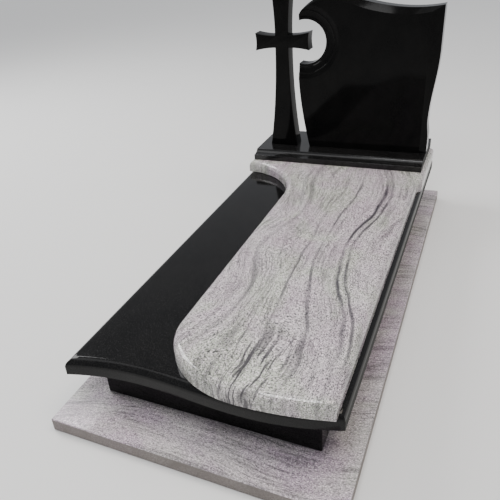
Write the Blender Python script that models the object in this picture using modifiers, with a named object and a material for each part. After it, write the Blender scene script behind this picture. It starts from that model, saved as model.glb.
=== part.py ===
"""Granite grave memorial in two colours, built up from slabs.

A pale base slab carries a black kerb, two cover slabs (a black one below, a
pale one with an S-shaped edge above), a black plinth, a black headstone with
a round bite in its left edge, and a black cross that reaches into the bite.
Metres, X across, Y towards the head, Z up. The origin is the middle of the
base slab's underside.
"""
import math

import bmesh
import bpy
from mathutils import Matrix

# Gap left between two pieces that touch.
JOINT = 0.0003

# Base slab.
BASE_WIDTH = 1.000
BASE_LENGTH = 2.160
BASE_HEIGHT = 0.050

# Kerb: four bars standing on the base round an empty chamber.
KERB_SIDE_MARGIN = 0.116
KERB_FRONT_MARGIN = 0.182
KERB_REAR_MARGIN = 0.050
KERB_HEIGHT = 0.140
KERB_THICKNESS = 0.060

# Both cover slabs share their rear face, and at the head their side faces.
COVER_SIDE_OVERHANG = 0.072
COVER_REAR_OVERHANG = 0.030

# Lower cover slab. Its front edge is a wave, given by how far it reaches past
# the kerb at four places across the width.
LOWER_COVER_HEIGHT = 0.060
LOWER_EDGE_ROUND = 0.028
LOWER_TIP_REACH = 0.100
LOWER_HOLLOW_REACH = 0.060
LOWER_BULGE_REACH = 0.076
LOWER_CORNER_REACH = 0.024
LOWER_HOLLOW_X = -0.190
LOWER_BULGE_X = 0.150

# Upper cover slab. Its left edge runs straight between two bends that turn
# opposite ways, one to the front edge and one to the left side at the head.
# In front of the head its right side stands back from the lower cover's.
UPPER_COVER_HEIGHT = 0.060
UPPER_EDGE_ROUND = 0.028
UPPER_SIDE_INSET = 0.0185
UPPER_STEP_LENGTH = 0.024
UPPER_EDGE_X = -0.148
UPPER_BULGE_REACH = 0.092
UPPER_CORNER_REACH = 0.055
UPPER_FRONT_BEND_ACROSS = 0.298
UPPER_FRONT_BEND_ALONG = 0.250
UPPER_HEAD_BEND_ALONG = 0.357
UPPER_HEAD_BAND = 0.403
UPPER_RIGHT_HEAD_BAND = 0.455

# Plinth, with a cove along its front.
PLINTH_SIDE_INSET = 0.0185
PLINTH_DEPTH = 0.372
PLINTH_HEIGHT = 0.047
PLINTH_FASCIA = 0.027
PLINTH_COVE_DEPTH = 0.045

# Headstone. Its front face stands back from the plinth's front face.
STONE_SETBACK = 0.136
STONE_THICKNESS = 0.087
STONE_FOOT_LEFT = -0.165
STONE_FOOT_RIGHT = 0.437
STONE_LEFT_SWELL = 0.056
STONE_SWELL_HEIGHT = 0.383
STONE_FOOT_HEIGHT = 0.070
STONE_WAIST_INSET = 0.008
STONE_WAIST_HEIGHT = 0.158
STONE_RIGHT_FLARE = 0.020
STONE_FLARE_HEIGHT = 0.500
STONE_CORNER_HEIGHT = 0.695
STONE_DIP_X = 0.220
STONE_DIP_HEIGHT = 0.658
STONE_TIP_HEIGHT = 0.670
STONE_CREST_HEIGHT = 0.764
STONE_CREST_X = -0.045
STONE_SIDE_BEVEL = 0.052
STONE_TOP_BEVEL = 0.027
STONE_BEVEL_DEPTH = 0.018

# How far the curves on both sides of the crest keep level, and how the left
# one leaves the tip. The left side swells with this power of the way down.
STONE_CREST_RUN_RIGHT = 0.045
STONE_CREST_RUN_LEFT = 0.075
STONE_TIP_RUN_ACROSS = 0.016
STONE_TIP_RUN_UP = 0.040
STONE_SWELL_POWER = 1.6

# Round bite in the headstone's left edge and the moulding sunk round it: a flat
# fillet, a hollow and a slope. The hollow's places are shares of the moulding.
BITE_RADIUS = 0.108
BITE_CENTRE_X = -0.190
BITE_CENTRE_HEIGHT = 0.540
BITE_MOULDING_WIDTH = 0.072
BITE_MOULDING_DEPTH = 0.016
FILLET_WIDTH_SHARE = 0.16
HOLLOW_START_SHARE = 0.20
HOLLOW_WIDTH_SHARE = 0.62
HOLLOW_TOP_SHARE = 0.22
HOLLOW_DEPTH_SHARE = 0.50
CUTTER_OVERRUN = 0.02

# Cross. Its arms widen towards their ends, which are slightly hollow.
CROSS_X = -0.310
CROSS_THICKNESS = 0.075
CROSS_ARM_HEIGHT = 0.545
CROSS_TOP_HEIGHT = 0.813
CROSS_ARM_REACH = 0.143
CROSS_WAIST_HALF = 0.035
CROSS_ARM_HALF = 0.030
CROSS_FOOT_HALF = 0.075
CROSS_TOP_HALF = 0.052
CROSS_ARM_END_HALF = 0.043
CROSS_END_HOLLOW = 0.005
CROSS_EDGE_ROUND = 0.006

# Small arris taken off the sawn edges.
ARRIS = 0.003

# Levels and faces that follow from the sizes above.
KERB_HALF = BASE_WIDTH / 2 - KERB_SIDE_MARGIN
KERB_FRONT_Y = -BASE_LENGTH / 2 + KERB_FRONT_MARGIN
KERB_REAR_Y = BASE_LENGTH / 2 - KERB_REAR_MARGIN
KERB_BOTTOM_Z = BASE_HEIGHT + JOINT
KERB_TOP_Z = KERB_BOTTOM_Z + KERB_HEIGHT
COVER_HALF = KERB_HALF + COVER_SIDE_OVERHANG
UPPER_RIGHT_X = COVER_HALF - UPPER_SIDE_INSET
PLINTH_HALF = COVER_HALF - PLINTH_SIDE_INSET
COVER_REAR_Y = KERB_REAR_Y + COVER_REAR_OVERHANG
LOWER_BOTTOM_Z = KERB_TOP_Z + JOINT
LOWER_TOP_Z = LOWER_BOTTOM_Z + LOWER_COVER_HEIGHT
UPPER_BOTTOM_Z = LOWER_TOP_Z + JOINT
UPPER_TOP_Z = UPPER_BOTTOM_Z + UPPER_COVER_HEIGHT
PLINTH_BOTTOM_Z = UPPER_TOP_Z + JOINT
PLINTH_TOP_Z = PLINTH_BOTTOM_Z + PLINTH_HEIGHT
PLINTH_FRONT_Y = COVER_REAR_Y - PLINTH_DEPTH
STONE_FRONT_Y = PLINTH_FRONT_Y + STONE_SETBACK
STONE_BOTTOM_Z = PLINTH_TOP_Z + JOINT


def clear_scene():
    """Remove every object, so that only the memorial is left."""
    for thing in list(bpy.data.objects):
        bpy.data.objects.remove(thing, do_unlink=True)


def make_collection(name):
    """Add a collection to the scene."""
    group = bpy.data.collections.new(name)
    bpy.context.scene.collection.children.link(group)
    return group


def make_material(name, colour, roughness):
    """Polished stone as a plain Principled material."""
    material = bpy.data.materials.new(name)
    material.use_nodes = True
    shader = material.node_tree.nodes["Principled BSDF"]
    shader.inputs["Base Color"].default_value = (*colour, 1.0)
    shader.inputs["Roughness"].default_value = roughness
    shader.inputs["Metallic"].default_value = 0.0
    return material


def add_object(name, mesh, group, material):
    """Put a mesh into a collection with its material."""
    thing = bpy.data.objects.new(name, mesh)
    group.objects.link(thing)
    thing.data.materials.clear()
    thing.data.materials.append(material)
    return thing


def bevel(thing, width, segments=1, by_weight=False):
    """Take the sharp edges off a piece."""
    modifier = thing.modifiers.new("Bevel", "BEVEL")
    modifier.width = width
    modifier.segments = segments
    modifier.use_clamp_overlap = False
    if by_weight:
        modifier.limit_method = "WEIGHT"
    else:
        modifier.limit_method = "ANGLE"
        modifier.angle_limit = math.radians(40)
    return modifier


def box(name, size, centre, group, material):
    """A bar or slab with an arris taken off its edges."""
    mesh = bpy.data.meshes.new(name)
    shape = bmesh.new()
    bmesh.ops.create_cube(shape, size=1.0)
    bmesh.ops.scale(shape, vec=size, verts=shape.verts)
    shape.to_mesh(mesh)
    shape.free()
    thing = add_object(name, mesh, group, material)
    thing.location = centre
    bevel(thing, ARRIS)
    return thing


def plate(name, outline, height, group, material):
    """A flat outline, extruded by its height and closed into one mesh.

    The outline lies in the object's XY plane and the plate runs from 0 to
    its height along local Z.
    """
    curve = bpy.data.curves.new(name, "CURVE")
    curve.dimensions = "2D"
    curve.fill_mode = "BOTH"
    curve.extrude = height / 2
    curve.resolution_u = 1
    spline = curve.splines.new("POLY")
    spline.points.add(len(outline) - 1)
    for point, (x, y) in zip(spline.points, outline):
        point.co = (x, y, 0.0, 1.0)
    spline.use_cyclic_u = True
    flat = bpy.data.objects.new(name + "_outline", curve)
    group.objects.link(flat)
    graph = bpy.context.evaluated_depsgraph_get()
    mesh = bpy.data.meshes.new_from_object(flat.evaluated_get(graph))
    bpy.data.objects.remove(flat, do_unlink=True)
    shape = bmesh.new()
    shape.from_mesh(mesh)
    bmesh.ops.remove_doubles(shape, verts=shape.verts, dist=0.00001)
    bmesh.ops.translate(shape, vec=(0.0, 0.0, height / 2), verts=shape.verts)
    bmesh.ops.dissolve_limit(
        shape, angle_limit=math.radians(0.05), verts=shape.verts, edges=shape.edges
    )
    bmesh.ops.recalc_face_normals(shape, faces=shape.faces)
    shape.to_mesh(mesh)
    shape.free()
    mesh.name = name
    return add_object(name, mesh, group, material)


def weigh_edges(thing, weigh):
    """Set how much of the bevel's width each edge of a piece takes."""
    mesh = thing.data
    layer = mesh.attributes.new("bevel_weight_edge", "FLOAT", "EDGE")
    for edge, value in zip(mesh.edges, layer.data):
        start, end = (mesh.vertices[i].co for i in edge.vertices)
        value.value = weigh(start, end)


def cut(thing, cutter):
    """Take a cutter's shape out of a piece."""
    modifier = thing.modifiers.new(cutter.name, "BOOLEAN")
    modifier.operation = "DIFFERENCE"
    modifier.solver = "EXACT"
    modifier.object = cutter
    cutter.hide_render = True
    cutter.display_type = "WIRE"


def arc(centre, across, along, start, end, steps):
    """Points on an ellipse between two angles in degrees, both included."""
    angles = [math.radians(start + (end - start) * k / steps) for k in range(steps + 1)]
    return [(centre[0] + across * math.cos(a), centre[1] + along * math.sin(a)) for a in angles]


def bezier(points, steps):
    """Points on a cubic curve with four control points, both ends included."""
    found = []
    for k in range(steps + 1):
        t = k / steps
        weights = ((1 - t) ** 3, 3 * t * (1 - t) ** 2, 3 * t * t * (1 - t), t ** 3)
        found.append(tuple(sum(w * p[i] for w, p in zip(weights, points)) for i in (0, 1)))
    return found


def without_repeats(points):
    """Drop a point that lies on the one before it."""
    kept = []
    for point in points:
        if not kept or math.dist(point, kept[-1]) > 0.0004:
            kept.append(point)
    if math.dist(kept[0], kept[-1]) < 0.0004:
        kept.pop()
    return kept


def build_base(group, pale):
    """The pale slab that everything stands on."""
    size = (BASE_WIDTH, BASE_LENGTH, BASE_HEIGHT)
    return box("base_slab", size, (0.0, 0.0, BASE_HEIGHT / 2), group, pale)


def build_kerb(group, black):
    """Front and rear bars at full width, with the side bars between them."""
    middle_z = (KERB_BOTTOM_Z + KERB_TOP_Z) / 2
    across = (2 * KERB_HALF, KERB_THICKNESS, KERB_HEIGHT)
    front_y = KERB_FRONT_Y + KERB_THICKNESS / 2
    rear_y = KERB_REAR_Y - KERB_THICKNESS / 2
    box("kerb_front", across, (0.0, front_y, middle_z), group, black)
    box("kerb_rear", across, (0.0, rear_y, middle_z), group, black)
    length = rear_y - front_y - KERB_THICKNESS - 2 * JOINT
    along = (KERB_THICKNESS, length, KERB_HEIGHT)
    side_x = KERB_HALF - KERB_THICKNESS / 2
    middle_y = (front_y + rear_y) / 2
    box("kerb_left", along, (-side_x, middle_y, middle_z), group, black)
    box("kerb_right", along, (side_x, middle_y, middle_z), group, black)


def lower_front(x):
    """Front edge of the lower cover: a tip at the left, a hollow, a bulge, a corner."""
    if x < LOWER_HOLLOW_X:
        t = (x + COVER_HALF) / (LOWER_HOLLOW_X + COVER_HALF)
        reach = LOWER_HOLLOW_REACH + (LOWER_TIP_REACH - LOWER_HOLLOW_REACH) * (1 - t) ** 2
    elif x < LOWER_BULGE_X:
        t = (x - LOWER_HOLLOW_X) / (LOWER_BULGE_X - LOWER_HOLLOW_X)
        ease = (1 - math.cos(math.pi * t)) / 2
        reach = LOWER_HOLLOW_REACH + (LOWER_BULGE_REACH - LOWER_HOLLOW_REACH) * ease
    else:
        t = (x - LOWER_BULGE_X) / (COVER_HALF - LOWER_BULGE_X)
        reach = LOWER_BULGE_REACH + (LOWER_CORNER_REACH - LOWER_BULGE_REACH) * t ** 2
    return KERB_FRONT_Y - reach


def lower_outline():
    """Outline of the lower cover, anticlockwise from its left front tip."""
    steps = 26
    front = [-COVER_HALF + 2 * COVER_HALF * k / steps for k in range(steps + 1)]
    points = [(x, lower_front(x)) for x in front]
    return points + [(COVER_HALF, COVER_REAR_Y), (-COVER_HALF, COVER_REAR_Y)]


def upper_outline():
    """Outline of the upper cover, anticlockwise from the end of its front bend."""
    bend_x = UPPER_EDGE_X + UPPER_FRONT_BEND_ACROSS
    bulge_y = KERB_FRONT_Y - UPPER_BULGE_REACH
    corner_y = KERB_FRONT_Y - UPPER_CORNER_REACH
    steps = 10
    points = []
    for k in range(1, steps + 1):
        t = k / steps
        across = bend_x + (UPPER_RIGHT_X - bend_x) * t
        points.append((across, bulge_y + (corner_y - bulge_y) * t * t))
    step_y = COVER_REAR_Y - UPPER_RIGHT_HEAD_BAND
    points += [(UPPER_RIGHT_X, step_y - UPPER_STEP_LENGTH), (COVER_HALF, step_y)]
    points += [(COVER_HALF, COVER_REAR_Y), (-COVER_HALF, COVER_REAR_Y)]
    band_y = COVER_REAR_Y - UPPER_HEAD_BAND
    head_centre = (-COVER_HALF, band_y - UPPER_HEAD_BEND_ALONG)
    head_across = COVER_HALF + UPPER_EDGE_X
    points += arc(head_centre, head_across, UPPER_HEAD_BEND_ALONG, 90, 0, 16)
    front_centre = (bend_x, bulge_y + UPPER_FRONT_BEND_ALONG)
    points += arc(front_centre, UPPER_FRONT_BEND_ACROSS, UPPER_FRONT_BEND_ALONG, 180, 270, 18)
    return without_repeats(points)


def build_cover(name, outline, bottom_z, height, edge_round, group, material):
    """A cover slab with a rounded upper edge and an arris below."""
    slab = plate(name, outline, height, group, material)
    slab.location.z = bottom_z

    def weight(start, end):
        if min(start.z, end.z) > height / 2:
            return 1.0
        if max(start.z, end.z) < height / 2:
            return ARRIS / edge_round
        return 0.0

    weigh_edges(slab, weight)
    bevel(slab, edge_round, 4, by_weight=True)
    return slab


def build_lower_cover(group, black):
    """The black cover that lies on the kerb."""
    height, edge = LOWER_COVER_HEIGHT, LOWER_EDGE_ROUND
    return build_cover("lower_cover", lower_outline(), LOWER_BOTTOM_Z, height, edge, group, black)


def build_upper_cover(group, pale):
    """The pale cover that lies on the black one and carries the plinth."""
    height, edge = UPPER_COVER_HEIGHT, UPPER_EDGE_ROUND
    return build_cover("upper_cover", upper_outline(), UPPER_BOTTOM_Z, height, edge, group, pale)


def build_plinth(group, black):
    """The black plinth: its side profile, with the cove, run across the cover."""
    cove_height = PLINTH_HEIGHT - PLINTH_FASCIA
    points = [(PLINTH_DEPTH, 0.0), (PLINTH_DEPTH, PLINTH_HEIGHT)]
    steps = 8
    for k in range(steps, -1, -1):
        angle = math.pi / 2 * k / steps
        back = PLINTH_COVE_DEPTH * math.sin(angle)
        up = cove_height * (1 - math.cos(angle))
        points.append((back, PLINTH_FASCIA + up))
    points.append((0.0, 0.0))
    plinth = plate("plinth", without_repeats(points), 2 * PLINTH_HALF, group, black)
    # The profile's first axis turns to +Y, its second to +Z and the run to +X.
    turn = Matrix(((0.0, 0.0, 1.0), (1.0, 0.0, 0.0), (0.0, 1.0, 0.0)))
    plinth.rotation_euler = turn.to_euler()
    plinth.location = (-PLINTH_HALF, PLINTH_FRONT_Y, PLINTH_BOTTOM_Z)
    return plinth


def ease(start, end, share):
    """A value that leaves one level and reaches another without a kink."""
    return start + (end - start) * (1 - math.cos(math.pi * share)) / 2


def stone_side(up):
    """How far right the headstone reaches: foot, waist, then a flare."""
    foot = STONE_FOOT_RIGHT
    waist = foot - STONE_WAIST_INSET
    outer = foot + STONE_RIGHT_FLARE
    if up < STONE_FOOT_HEIGHT:
        return foot
    if up < STONE_WAIST_HEIGHT:
        return ease(foot, waist, (up - STONE_FOOT_HEIGHT) / (STONE_WAIST_HEIGHT - STONE_FOOT_HEIGHT))
    if up < STONE_FLARE_HEIGHT:
        return ease(waist, outer, (up - STONE_WAIST_HEIGHT) / (STONE_FLARE_HEIGHT - STONE_WAIST_HEIGHT))
    return outer


def stone_outline():
    """Front outline of the headstone without its bite, anticlockwise from the left foot."""
    left = STONE_FOOT_LEFT
    points = [(left, 0.0), (STONE_FOOT_RIGHT, 0.0)]
    steps = 16
    for k in range(steps + 1):
        up = STONE_FOOT_HEIGHT + (STONE_FLARE_HEIGHT - STONE_FOOT_HEIGHT) * k / steps
        points.append((stone_side(up), up))
    corner = (stone_side(STONE_CORNER_HEIGHT), STONE_CORNER_HEIGHT)
    crest = (STONE_CREST_X, STONE_CREST_HEIGHT)
    tip = (left - STONE_LEFT_SWELL, STONE_TIP_HEIGHT)
    dip = (STONE_DIP_X, STONE_DIP_HEIGHT)
    before_crest = (crest[0] + STONE_CREST_RUN_RIGHT, crest[1])
    after_crest = (crest[0] - STONE_CREST_RUN_LEFT, crest[1])
    before_tip = (tip[0] + STONE_TIP_RUN_ACROSS, tip[1] + STONE_TIP_RUN_UP)
    points += bezier([corner, dip, before_crest, crest], 18)
    points += bezier([crest, after_crest, before_tip, tip], 10)[1:]
    points.append((tip[0], BITE_CENTRE_HEIGHT))
    steps = 12
    for k in range(steps):
        t = k / steps
        swell = STONE_LEFT_SWELL * (1 - t ** STONE_SWELL_POWER)
        points.append((left - swell, STONE_SWELL_HEIGHT * (1 - t)))
    return without_repeats(points)


def stone_face(x, up):
    """Where a point of the outline lies on the front face, inside the bevel."""
    outer = stone_side(STONE_CORNER_HEIGHT)
    side = outer - STONE_SIDE_BEVEL
    if up <= STONE_TIP_HEIGHT:
        return min(x, side), up
    if x > STONE_CREST_X:
        share = (x - STONE_CREST_X) / (outer - STONE_CREST_X)
        return STONE_CREST_X + (side - STONE_CREST_X) * share, up - STONE_TOP_BEVEL
    # Left of the crest the bevel runs out to nothing at the tip.
    tip = STONE_FOOT_LEFT - STONE_LEFT_SWELL
    return x, up - STONE_TOP_BEVEL * (x - tip) / (STONE_CREST_X - tip)


def build_bite(cutters, black):
    """Cutter for the bite and its moulding: a stepped profile turned about Y."""
    inner = BITE_RADIUS
    outer = inner + BITE_MOULDING_WIDTH
    depth = BITE_MOULDING_DEPTH
    behind = STONE_THICKNESS + CUTTER_OVERRUN
    # Radius and depth behind the front face, from the axis at the back to the front.
    profile = [(0.0, behind), (inner, behind), (inner, depth)]
    profile.append((inner + FILLET_WIDTH_SHARE * BITE_MOULDING_WIDTH, depth))
    steps = 4
    for k in range(steps + 1):
        angle = math.pi / 2 * k / steps
        across = HOLLOW_START_SHARE + HOLLOW_WIDTH_SHARE * math.sin(angle)
        down = HOLLOW_TOP_SHARE + HOLLOW_DEPTH_SHARE * math.cos(angle)
        profile.append((inner + across * BITE_MOULDING_WIDTH, down * depth))
    profile += [(outer, 0.0), (outer, -CUTTER_OVERRUN), (0.0, -CUTTER_OVERRUN)]
    mesh = bpy.data.meshes.new("bite_cutter")
    shape = bmesh.new()
    points = [shape.verts.new((r, 0.0, -d)) for r, d in without_repeats(profile)]
    for first, second in zip(points, points[1:]):
        shape.edges.new((first, second))
    bmesh.ops.spin(
        shape,
        geom=shape.verts[:] + shape.edges[:],
        cent=(0.0, 0.0, 0.0),
        axis=(0.0, 0.0, 1.0),
        angle=math.tau,
        steps=48,
        use_duplicate=False,
    )
    bmesh.ops.remove_doubles(shape, verts=shape.verts, dist=0.00002)
    bmesh.ops.recalc_face_normals(shape, faces=shape.faces)
    shape.to_mesh(mesh)
    shape.free()
    cutter = add_object("bite_cutter", mesh, cutters, black)
    cutter.rotation_euler = (math.radians(90), 0.0, 0.0)
    cutter.location = (BITE_CENTRE_X, STONE_FRONT_Y, STONE_BOTTOM_Z + BITE_CENTRE_HEIGHT)
    return cutter


def build_headstone(group, cutters, black):
    """The headstone: a loft from its outline to the smaller front face, with the bite cut out."""
    outline = stone_outline()
    back, edge = STONE_THICKNESS, STONE_BEVEL_DEPTH
    rings = [[(x, back, up) for x, up in outline], [(x, edge, up) for x, up in outline]]
    rings.append([(x, 0.0, up) for x, up in (stone_face(*point) for point in outline)])
    mesh = bpy.data.meshes.new("headstone")
    shape = bmesh.new()
    loops = [[shape.verts.new(point) for point in ring] for ring in rings]
    for first, second in zip(loops, loops[1:]):
        for k in range(len(outline)):
            after = (k + 1) % len(outline)
            shape.faces.new((first[k], first[after], second[after], second[k]))
    shape.faces.new(loops[0])
    shape.faces.new(loops[-1])
    bmesh.ops.remove_doubles(shape, verts=shape.verts, dist=0.00001)
    bmesh.ops.recalc_face_normals(shape, faces=shape.faces)
    shape.to_mesh(mesh)
    shape.free()
    stone = add_object("headstone", mesh, group, black)
    stone.location = (0.0, STONE_FRONT_Y, STONE_BOTTOM_Z)
    cut(stone, build_bite(cutters, black))
    return stone


def cross_outline():
    """Outline of the cross about its own upright axis, from the foot upwards."""
    middle = CROSS_ARM_HEIGHT
    steps = 10
    lower = []
    for k in range(steps + 1):
        t = 1 - k / steps
        half = CROSS_WAIST_HALF + (CROSS_FOOT_HALF - CROSS_WAIST_HALF) * t * t
        up = middle - CROSS_ARM_HALF - (middle - CROSS_ARM_HALF) * t
        lower.append((half, up))
    arm = []
    arm_steps = 5
    reach = CROSS_ARM_REACH - CROSS_WAIST_HALF
    for k in range(arm_steps + 1):
        t = k / arm_steps
        half = CROSS_ARM_HALF + (CROSS_ARM_END_HALF - CROSS_ARM_HALF) * t * t
        arm.append((CROSS_WAIST_HALF + reach * t, middle - half))
    end = []
    for k in range(1, 6):
        t = k / 6
        hollow = CROSS_END_HOLLOW * 4 * t * (1 - t)
        end.append((CROSS_ARM_REACH - hollow, middle + CROSS_ARM_END_HALF * (2 * t - 1)))
    back = [(x, 2 * middle - z) for x, z in reversed(arm)]
    upper = []
    rise = CROSS_TOP_HEIGHT - middle - CROSS_ARM_HALF
    for k in range(1, steps + 1):
        t = k / steps
        half = CROSS_WAIST_HALF + (CROSS_TOP_HALF - CROSS_WAIST_HALF) * t * t
        upper.append((half, middle + CROSS_ARM_HALF + rise * t))
    right = lower + arm[1:] + end + back + upper
    top = []
    for k in range(1, 6):
        t = k / 6
        hollow = CROSS_END_HOLLOW * 4 * t * (1 - t)
        top.append((CROSS_TOP_HALF * (1 - 2 * t), CROSS_TOP_HEIGHT - hollow))
    left = [(-x, z) for x, z in reversed(right)]
    return without_repeats(right + top + left)


def build_cross(group, black):
    """The cross: an upright plate with rounded front edges."""
    cross = plate("cross", cross_outline(), CROSS_THICKNESS, group, black)
    cross.rotation_euler = (math.radians(90), 0.0, 0.0)
    cross.location = (CROSS_X, STONE_FRONT_Y + CROSS_THICKNESS, STONE_BOTTOM_Z)

    def weight(start, end):
        """The front edges are rounded, but not the one that stands on the plinth."""
        on_front = min(start.z, end.z) > CROSS_THICKNESS / 2
        at_foot = max(start.y, end.y) < CROSS_ARM_HALF / 2
        return 1.0 if on_front and not at_foot else 0.0

    weigh_edges(cross, weight)
    bevel(cross, CROSS_EDGE_ROUND, 2, by_weight=True)
    return cross


def build_memorial():
    """All the pieces, from the ground up."""
    clear_scene()
    group = make_collection("grave_memorial")
    cutters = make_collection("cutters")
    pale = make_material("pale_granite", (0.42, 0.40, 0.40), 0.25)
    black = make_material("black_granite", (0.008, 0.008, 0.009), 0.08)
    build_base(group, pale)
    build_kerb(group, black)
    build_lower_cover(group, black)
    build_upper_cover(group, pale)
    build_plinth(group, black)
    build_headstone(group, cutters, black)
    build_cross(group, black)


build_memorial()
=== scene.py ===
import math

import bmesh
import bpy
import numpy as np
from mathutils import Euler, Matrix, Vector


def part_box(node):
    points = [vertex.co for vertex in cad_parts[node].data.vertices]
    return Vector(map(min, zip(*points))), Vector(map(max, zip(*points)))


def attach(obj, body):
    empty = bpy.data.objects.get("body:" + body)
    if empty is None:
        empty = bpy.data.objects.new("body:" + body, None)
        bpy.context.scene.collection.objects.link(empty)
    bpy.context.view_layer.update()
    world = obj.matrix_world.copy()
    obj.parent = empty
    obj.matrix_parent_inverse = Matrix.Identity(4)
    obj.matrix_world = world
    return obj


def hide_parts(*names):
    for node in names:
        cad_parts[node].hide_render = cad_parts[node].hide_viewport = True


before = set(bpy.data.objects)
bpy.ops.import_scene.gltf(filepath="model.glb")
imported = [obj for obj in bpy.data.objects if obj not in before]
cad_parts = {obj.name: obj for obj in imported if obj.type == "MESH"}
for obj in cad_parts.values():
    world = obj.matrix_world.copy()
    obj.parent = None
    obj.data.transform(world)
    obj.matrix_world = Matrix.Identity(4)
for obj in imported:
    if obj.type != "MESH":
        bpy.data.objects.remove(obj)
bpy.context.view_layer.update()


# The ground: a plain pale floor, wide enough to fill the photograph's view. It
# is not part of the memorial.

FLOOR_HALF = 30.0
FLOOR_COLOUR = (0.80, 0.80, 0.79)
FLOOR_SHADE = 0.985
FLOOR_CLOUDS = 2.0
FLOOR_ROUGHNESS = 0.9


def floor_material():
    """Matt pale paint with a faint uneven tone."""
    material = bpy.data.materials.new("pale_floor")
    material.use_nodes = True
    nodes, links = material.node_tree.nodes, material.node_tree.links
    shader = nodes["Principled BSDF"]
    shader.inputs["Roughness"].default_value = FLOOR_ROUGHNESS
    place = nodes.new("ShaderNodeTexCoord")
    clouds = nodes.new("ShaderNodeTexNoise")
    clouds.inputs["Scale"].default_value = FLOOR_CLOUDS
    tone = nodes.new("ShaderNodeMix")
    tone.data_type = "RGBA"
    tone.inputs["A"].default_value = (*FLOOR_COLOUR, 1.0)
    tone.inputs["B"].default_value = (*(FLOOR_SHADE * c for c in FLOOR_COLOUR), 1.0)
    links.new(place.outputs["Object"], clouds.inputs["Vector"])
    links.new(clouds.outputs["Fac"], tone.inputs["Factor"])
    links.new(tone.outputs["Result"], shader.inputs["Base Color"])
    return material


floor_corners = [
    (x * FLOOR_HALF, y * FLOOR_HALF, 0.0) for x, y in ((-1, -1), (1, -1), (1, 1), (-1, 1))
]
floor_mesh = bpy.data.meshes.new("floor")
floor_mesh.from_pydata(floor_corners, [], [(0, 1, 2, 3)])
floor_mesh.materials.append(floor_material())
floor = bpy.data.objects.new("floor", floor_mesh)
bpy.context.scene.collection.objects.link(floor)


# The base: one slab of pale granite, laid first, polished on top and left as
# sawn round the sides, with a small arris. The sawn sides are painted darker as
# painted shade. The stone is fine-grained, with dark veins like wood grain, and
# is cut so that they run over the slab's width.


def socket(tree, name, kind, output=False):
    """A named input or output on a node group."""
    return tree.interface.new_socket(name, in_out="OUTPUT" if output else "INPUT", socket_type=kind)


def feed(tree, place, value):
    """Give an input socket a number, a colour or vector, or another node's output."""
    if isinstance(value, (int, float)):
        place.default_value = value
    elif isinstance(value, tuple):
        place.default_value = value if len(value) == len(place.default_value) else (*value, 1.0)
    else:
        tree.links.new(value, place)


def calculate(tree, operation, first, second=None, third=None):
    """One Math node. Each value is a number or an output socket."""
    node = tree.nodes.new("ShaderNodeMath")
    node.operation = operation
    for place, value in zip(node.inputs, (first, second, third)):
        if value is not None:
            feed(tree, place, value)
    return node.outputs[0]


def noise(tree, vector, lumps, detail=2.0, rough=0.5, warp=0.0):
    """Noise with so many lumps a metre along each axis, about 0.5 on average."""
    mapping = tree.nodes.new("ShaderNodeMapping")
    mapping.inputs["Scale"].default_value = lumps
    tree.links.new(vector, mapping.inputs["Vector"])
    node = tree.nodes.new("ShaderNodeTexNoise")
    node.inputs["Scale"].default_value = 1.0
    node.inputs["Detail"].default_value = detail
    node.inputs["Roughness"].default_value = rough
    node.inputs["Distortion"].default_value = warp
    tree.links.new(mapping.outputs["Vector"], node.inputs["Vector"])
    return node.outputs["Fac"]


def between(tree, value, low, high, start=0.0, end=1.0):
    """The start value below the low mark, the end value above the high one, smooth between."""
    node = tree.nodes.new("ShaderNodeMapRange")
    node.interpolation_type = "SMOOTHSTEP"
    feed(tree, node.inputs["Value"], value)
    feed(tree, node.inputs["From Min"], low)
    feed(tree, node.inputs["From Max"], high)
    node.inputs["To Min"].default_value = start
    node.inputs["To Max"].default_value = end
    return node.outputs["Result"]


def blend(tree, share, first, second):
    """Two colours mixed by a share."""
    node = tree.nodes.new("ShaderNodeMix")
    node.data_type = "RGBA"
    feed(tree, node.inputs["Factor"], share)
    feed(tree, node.inputs["A"], first)
    feed(tree, node.inputs["B"], second)
    return node.outputs["Result"]


def stain(tree, body, mask, share, colour):
    """A colour laid over the body where the mask says, at most by a share."""
    return blend(tree, calculate(tree, "MULTIPLY", mask, share), body, colour)


def use_group(tree, group, **values):
    """A group placed in a tree, its inputs fed by name."""
    node = tree.nodes.new("ShaderNodeGroup")
    node.node_tree = group
    for name, value in values.items():
        feed(tree, node.inputs[name.replace("_", " ")], value)
    return node.outputs


def axes(tree, vector):
    """The three components of a vector."""
    node = tree.nodes.new("ShaderNodeSeparateXYZ")
    tree.links.new(vector, node.inputs["Vector"])
    return node.outputs


def wave(tree, along, crest, turn, reach):
    """The reach times the cosine of the turn times the way along from the crest."""
    angle = calculate(tree, "MULTIPLY", calculate(tree, "SUBTRACT", along, crest), turn)
    return calculate(tree, "MULTIPLY", calculate(tree, "COSINE", angle), reach)


# The sweep of the veins: a wave on the right that leans, one on the left, and
# noise with so many lumps a metre along each axis.
RIGHT_WAVE_CREST = -0.77
RIGHT_WAVE_TURN = 5.2
RIGHT_WAVE_REACH = 0.05
RIGHT_LEAN = -0.06
RIGHT_ZONE = (0.06, 0.30)
LEFT_WAVE_CREST = -0.54
LEFT_WAVE_TURN = 8.6
LEFT_WAVE_REACH = 0.038
LEFT_ZONE = (-0.04, 0.11)
BENDS = (7.0, 3.2, 3.0)
BEND_REACH = 0.050
RIPPLES = (26.0, 13.0, 10.0)
RIPPLE_REACH = 0.007


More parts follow.
